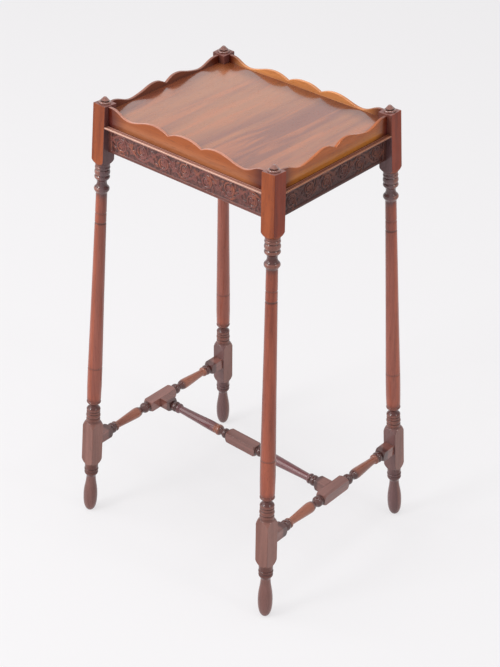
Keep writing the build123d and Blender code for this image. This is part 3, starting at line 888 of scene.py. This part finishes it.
class STAND_OT_gallery(bpy.types.Operator):
    """Polish the scalloped gallery boards"""

    bl_idname = "stand.gallery"
    bl_label = "Gallery"

    def execute(self, context):
        wood = context.scene.stand_polish
        for side in SIDES:
            axis, grain = (0, ALONG_X) if side in LONG_SIDES else (1, ALONG_Y)
            finish = Finish("Gallery mahogany " + side, grain)
            tree = finish.tree
            low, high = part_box("gallery_" + side)
            from_middle = finish.from_middle(axis)
            redder = remap(tree, from_middle, *(share_of * high[axis] for share_of in GALLERY_ENDS))
            colour = linear(getattr(wood, side + "_gallery"))
            colour = mix_colours(tree, redder, colour, linear(wood.gallery_end))
            up = finish.parts_of(finish.place)["Z"]
            # Painted light low on the board turning to painted shade towards its top
            rise = remap(tree, up, *(low.z + height for height in GALLERY_RISE))
            below, above = times(tree, colour, GALLERY_PAINTED_LIGHT_BELOW), times(tree, colour, GALLERY_PAINTED_SHADE_ABOVE)
            colour = mix_colours(tree, rise, below, above)
            # Painted highlight on the parts of the top edges that face up
            facing_up = finish.parts_of(finish.normal)["Z"]
            paler_mask = remap(tree, facing_up, *EDGE_UP, 0.0, GALLERY_EDGE_HIGHLIGHT[side])
            colour = mix_colours(tree, paler_mask, colour, linear(wood.gallery_edge_highlight))
            colour = finish.grime_and_shade(finish.grain(colour, contrast=0.9), wood.grime_and_shade)
            dress(["gallery_" + side], finish.done(colour, wood.roughness, wood.gloss))
        return {"FINISHED"}


class STAND_OT_moulding(bpy.types.Operator):
    """Polish the bead moulding"""

    bl_idname = "stand.moulding"
    bl_label = "Bead moulding"

    def execute(self, context):
        wood = context.scene.stand_polish
        for sides, grain, axis in ((LONG_SIDES, ALONG_X, 1), (SHORT_SIDES, ALONG_Y, 0)):
            finish = Finish("Bead mahogany " + sides[0], grain)
            tree = finish.tree
            low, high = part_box("moulding_" + sides[1])
            width = high[axis] - low[axis]
            out = finish.from_middle(axis)
            out = math_node(tree, "MULTIPLY_ADD", out, 1 / width, -low[axis] / width)
            # Painted highlights and painted shade across the moulding
            colour = finish.grain(zones(tree, out, BEAD_ZONES, wood), contrast=0.6)
            # Painted shade on the short sides
            if sides == SHORT_SIDES:
                colour = times(tree, colour, linear(wood.bead_short_shade))
            polished = finish.done(colour, roughness=0.25, gloss=0.9)
            dress(["moulding_" + side for side in sides], polished)
        return {"FINISHED"}


class STAND_OT_frieze(bpy.types.Operator):
    """Carve the running scrolls into the sunk fields of the rails"""

    bl_idname = "stand.frieze"
    bl_label = "Carved frieze"

    def execute(self, context):
        wood = context.scene.stand_polish
        # The short sides get painted shade, mixed towards the dark old polish colour
        for sides, grain, darker, gloss in (
            (LONG_SIDES, ALONG_X, 0.0, wood.gloss),
            (SHORT_SIDES, ALONG_Y, wood.short_frieze_shade, 0.5 * wood.gloss),
        ):
            finish = Finish("Frieze mahogany " + sides[0], grain)
            colour = finish.grain(linear(wood.frieze_brown))
            colour = mix_colours(finish.tree, darker, colour, linear(wood.old_polish_and_shade))
            colour = finish.grime_and_shade(colour, amount=0.4)
            rail_wood = finish.done(colour, wood.roughness, gloss)
            dress(["rail_" + side for side in sides], rail_wood)
            finish = Finish("Carved mahogany " + sides[0], grain)
            carved = finish.done(
                self.carved_colour(finish, wood, darker), wood.roughness, gloss, "carving"
            )
            for side in sides:
                panel = carve_panel("carving_" + side, side, context.scene.stand_carving)
                panel.data.materials.append(carved)
        return {"FINISHED"}

    def carved_colour(self, finish, wood, darker):
        """Rubbed crests over a dark ground, told apart by the mesh's relief."""
        tree = finish.tree
        relief = tree.nodes.new("ShaderNodeAttribute")
        relief.attribute_name = "relief"
        rubbed = noise_mask(tree, finish.place, RUBBED)
        crest = mix_colours(tree, rubbed, linear(wood.carving_brown), linear(wood.carving_crest))
        paler_mask = noise_mask(tree, finish.place, WORN)
        ground = mix_colours(tree, paler_mask, linear(wood.old_polish_and_shade), linear(wood.carving_brown))
        ground = mix_colours(tree, 0.5, linear(wood.carving_ground), ground)
        raised = remap(tree, relief.outputs["Fac"], 0.05, 0.95)
        colour = mix_colours(tree, raised, ground, finish.grain(crest))
        # Painted shade on the short sides
        return mix_colours(tree, darker, colour, linear(wood.old_polish_and_shade))


class STAND_OT_tray(bpy.types.Operator):
    """Polish the tray board, with its long soft streaks"""

    bl_idname = "stand.tray"
    bl_label = "Tray board"

    def execute(self, context):
        wood = context.scene.stand_polish
        finish = Finish("Tray mahogany", TRAY_GRAIN)
        tree = finish.tree
        slant = tree.nodes.new("ShaderNodeMapping")
        slant.inputs["Rotation"].default_value = (0, 0, TRAY_SLANT)
        slant.inputs["Scale"].default_value = TRAY_BANDS
        tree.links.new(finish.place, slant.inputs["Vector"])
        bands = slant.outputs["Vector"]
        greyer = noise_mask(tree, bands, GREY_BANDS)
        warmer = noise_mask(tree, bands, ORANGE_BANDS, 0.0, ORANGE_SHARE)
        base = mix_colours(tree, greyer, linear(wood.tray_tan), linear(wood.tray_mauve))
        base = mix_colours(tree, warmer, base, linear(wood.tray_orange))
        colour = finish.grain(base, contrast=0.35, deep=TRAY_STREAKS)
        places = finish.parts_of(finish.place)
        low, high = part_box("tray_board")
        # Painted shade where the rear and left gallery boards stand over the tray
        reach, full = wood.tray_shade, 0.1 * wood.tray_shade
        rear = remap(tree, places["Y"], high.y - reach, high.y - full)
        left = remap(tree, places["X"], low.x + reach, low.x + full, 0.0, 0.5)
        painted_gallery_shade = math_node(tree, "MAXIMUM", rear, left)
        colour = mix_colours(tree, painted_gallery_shade, colour, times(tree, colour, TRAY_PAINTED_SHADE))
        colour = finish.grime_and_shade(colour, amount=0.5)
        polished = finish.done(colour, roughness=0.22, gloss=1.0, sheen="tray", bump=0.06)
        dress(["tray_board"], polished)
        return {"FINISHED"}


class STAND_OT_stretchers(bpy.types.Operator):
    """Polish the three turned stretchers"""

    bl_idname = "stand.stretchers"
    bl_label = "Stretchers"

    def execute(self, context):
        wood = context.scene.stand_polish
        for names, grain, axis, table in (
            (("stretcher_left", "stretcher_right"), ALONG_Y, 1, SIDE_ZONES),
            (("stretcher_centre",), ALONG_X, 0, CENTRE_ZONES),
        ):
            finish = Finish("Stretcher mahogany " + names[0], grain)
            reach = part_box(names[0])[1][axis]
            out = math_node(finish.tree, "DIVIDE", finish.from_middle(axis), reach)
            colour = finish.grain(zones(finish.tree, out, table, wood))
            colour = finish.grime_and_shade(colour, wood.grime_and_shade, reach=3 * MM)
            dress(names, finish.done(colour, wood.roughness, wood.gloss, "stretchers"))
        return {"FINISHED"}


class STAND_OT_glue_blocks(bpy.types.Operator):
    """Leave the glue blocks under the tray unpolished"""

    bl_idname = "stand.glue_blocks"
    bl_label = "Glue blocks"

    def execute(self, context):
        finish = Finish("Unpolished wood", ALONG_X)
        colour = finish.grain(linear(context.scene.stand_polish.raw_wood), contrast=0.7)
        plain = finish.done(colour, roughness=0.6, gloss=0.0, bump=0.3)
        dress(["glue_block_" + side for side in SIDES], plain)
        return {"FINISHED"}


def seen_by_camera(tree):
    """1 for what is looked at, also in the polish, and 0 for light that falls on the stand."""
    path = tree.nodes.new("ShaderNodeLightPath")
    seen = math_node(tree, "MAXIMUM", path.outputs["Is Camera Ray"], path.outputs["Is Glossy Ray"])
    return math_node(tree, "MAXIMUM", seen, path.outputs["Is Transmission Ray"])


def add_lamp(name, place, width, power):
    """A soft lamp that faces the middle of the stand."""
    bpy.ops.object.light_add(type="AREA", location=place)
    lamp = bpy.context.object
    lamp.name = name
    lamp.data.size = width
    lamp.data.energy = power
    towards = Vector(LAMP_TARGET) - Vector(place)
    lamp.rotation_euler = towards.to_track_quat("-Z", "Y").to_euler()


class STAND_OT_stage(bpy.types.Operator):
    """Set the floor, the room, the lamps and the camera"""

    bl_idname = "stand.stage"
    bl_label = "Stage"

    def execute(self, context):
        stage = context.scene.stand_stage
        self.floor(context, stage)
        self.room(context, stage)
        for name, place, width, power in LAMPS:
            add_lamp(name, place, width, getattr(stage, power))
        self.camera(context, stage)
        context.scene.view_settings.view_transform = "Standard"
        return {"FINISHED"}

    def floor(self, context, stage):
        """A pale floor that glows a little where it is looked at."""
        bpy.ops.object.select_all(action="DESELECT")
        bpy.ops.mesh.primitive_plane_add(size=FLOOR_SIZE, location=(0, 0, 0))
        floor = context.object
        floor.name = "floor"
        ground = bpy.data.materials.new("Pale floor")
        ground.use_nodes = True
        tree = ground.node_tree
        shader = tree.nodes["Principled BSDF"]
        shader.inputs["Base Color"].default_value = linear(stage.floor)
        shader.inputs["Roughness"].default_value = 0.9
        shader.inputs["Specular IOR Level"].default_value = 0.1
        glow = tree.nodes.new("ShaderNodeEmission")
        glow.inputs["Color"].default_value = linear(stage.floor)
        both = tree.nodes.new("ShaderNodeMixShader")
        own_light = math_node(tree, "MULTIPLY", seen_by_camera(tree), stage.glow)
        tree.links.new(own_light, both.inputs["Fac"])
        tree.links.new(shader.outputs["BSDF"], both.inputs[1])
        tree.links.new(glow.outputs["Emission"], both.inputs[2])
        tree.links.new(both.outputs["Shader"], tree.nodes["Material Output"].inputs["Surface"])
        floor.data.materials.append(ground)

    def room(self, context, stage):
        """A room that looks paler than the light it gives."""
        world = bpy.data.worlds.new("Room")
        context.scene.world = world
        world.use_nodes = True
        tree = world.node_tree
        room = tree.nodes["Background"]
        room.inputs["Color"].default_value = linear(stage.backdrop)
        light = stage.room_light
        strength = math_node(tree, "MULTIPLY_ADD", seen_by_camera(tree), 1 - light, light)
        tree.links.new(strength, room.inputs["Strength"])

    def camera(self, context, stage):
        """Stands the camera where the picture was taken from."""
        az, el = stage.azimuth, stage.elevation
        back = Vector((math.sin(az) * math.cos(el), -math.cos(az) * math.cos(el), math.sin(el)))
        right = (-back).cross(Vector((0, 0, 1))).normalized()
        up = right.cross(-back)
        right, up = (
            right * math.cos(stage.roll) + up * math.sin(stage.roll),
            up * math.cos(stage.roll) - right * math.sin(stage.roll),
        )
        axes = Matrix((right, up, back)).transposed().to_4x4()
        lens = bpy.data.cameras.new("camera")
        lens.sensor_fit = "VERTICAL"
        lens.sensor_height = 36
        lens.lens = stage.lens
        lens.clip_end = 100
        camera = bpy.data.objects.new("camera", lens)
        context.scene.collection.objects.link(camera)
        camera.matrix_world = Matrix.Translation(stage.camera_place) @ axes
        context.scene.camera = camera


class STAND_PT_panel(bpy.types.Panel):
    """The stand's steps in the sidebar"""

    bl_idname = "STAND_PT_panel"
    bl_label = "Kettle stand"
    bl_space_type = "VIEW_3D"
    bl_region_type = "UI"
    bl_category = "Stand"

    def draw(self, context):
        for operator in OPERATORS:
            self.layout.operator(operator.bl_idname)
        scene = context.scene
        for group in (scene.stand_polish, scene.stand_carving, scene.stand_stage):
            box = self.layout.box()
            for name in group.bl_rna.properties.keys():
                if name not in ("rna_type", "name"):
                    box.prop(group, name)


OPERATORS = (
    STAND_OT_grain_groups,
    STAND_OT_legs,
    STAND_OT_finials,
    STAND_OT_gallery,
    STAND_OT_moulding,
    STAND_OT_frieze,
    STAND_OT_tray,
    STAND_OT_stretchers,
    STAND_OT_glue_blocks,
    STAND_OT_stage,
)
GROUPS = (StandPolish, CarvingSizes, StageSettings)


def register():
    for item in GROUPS + OPERATORS + (STAND_PT_panel,):
        bpy.utils.register_class(item)
    bpy.types.Scene.stand_polish = PointerProperty(type=StandPolish)
    bpy.types.Scene.stand_carving = PointerProperty(type=CarvingSizes)
    bpy.types.Scene.stand_stage = PointerProperty(type=StageSettings)


def unregister():
    del bpy.types.Scene.stand_stage
    del bpy.types.Scene.stand_carving
    del bpy.types.Scene.stand_polish
    for item in reversed(GROUPS + OPERATORS + (STAND_PT_panel,)):
        bpy.utils.unregister_class(item)


def main():
    """Runs every step in order."""
    register()
    for operator in OPERATORS:
        category, name = operator.bl_idname.split(".")
        getattr(getattr(bpy.ops, category), name)()


if __name__ == "__main__":
    main()
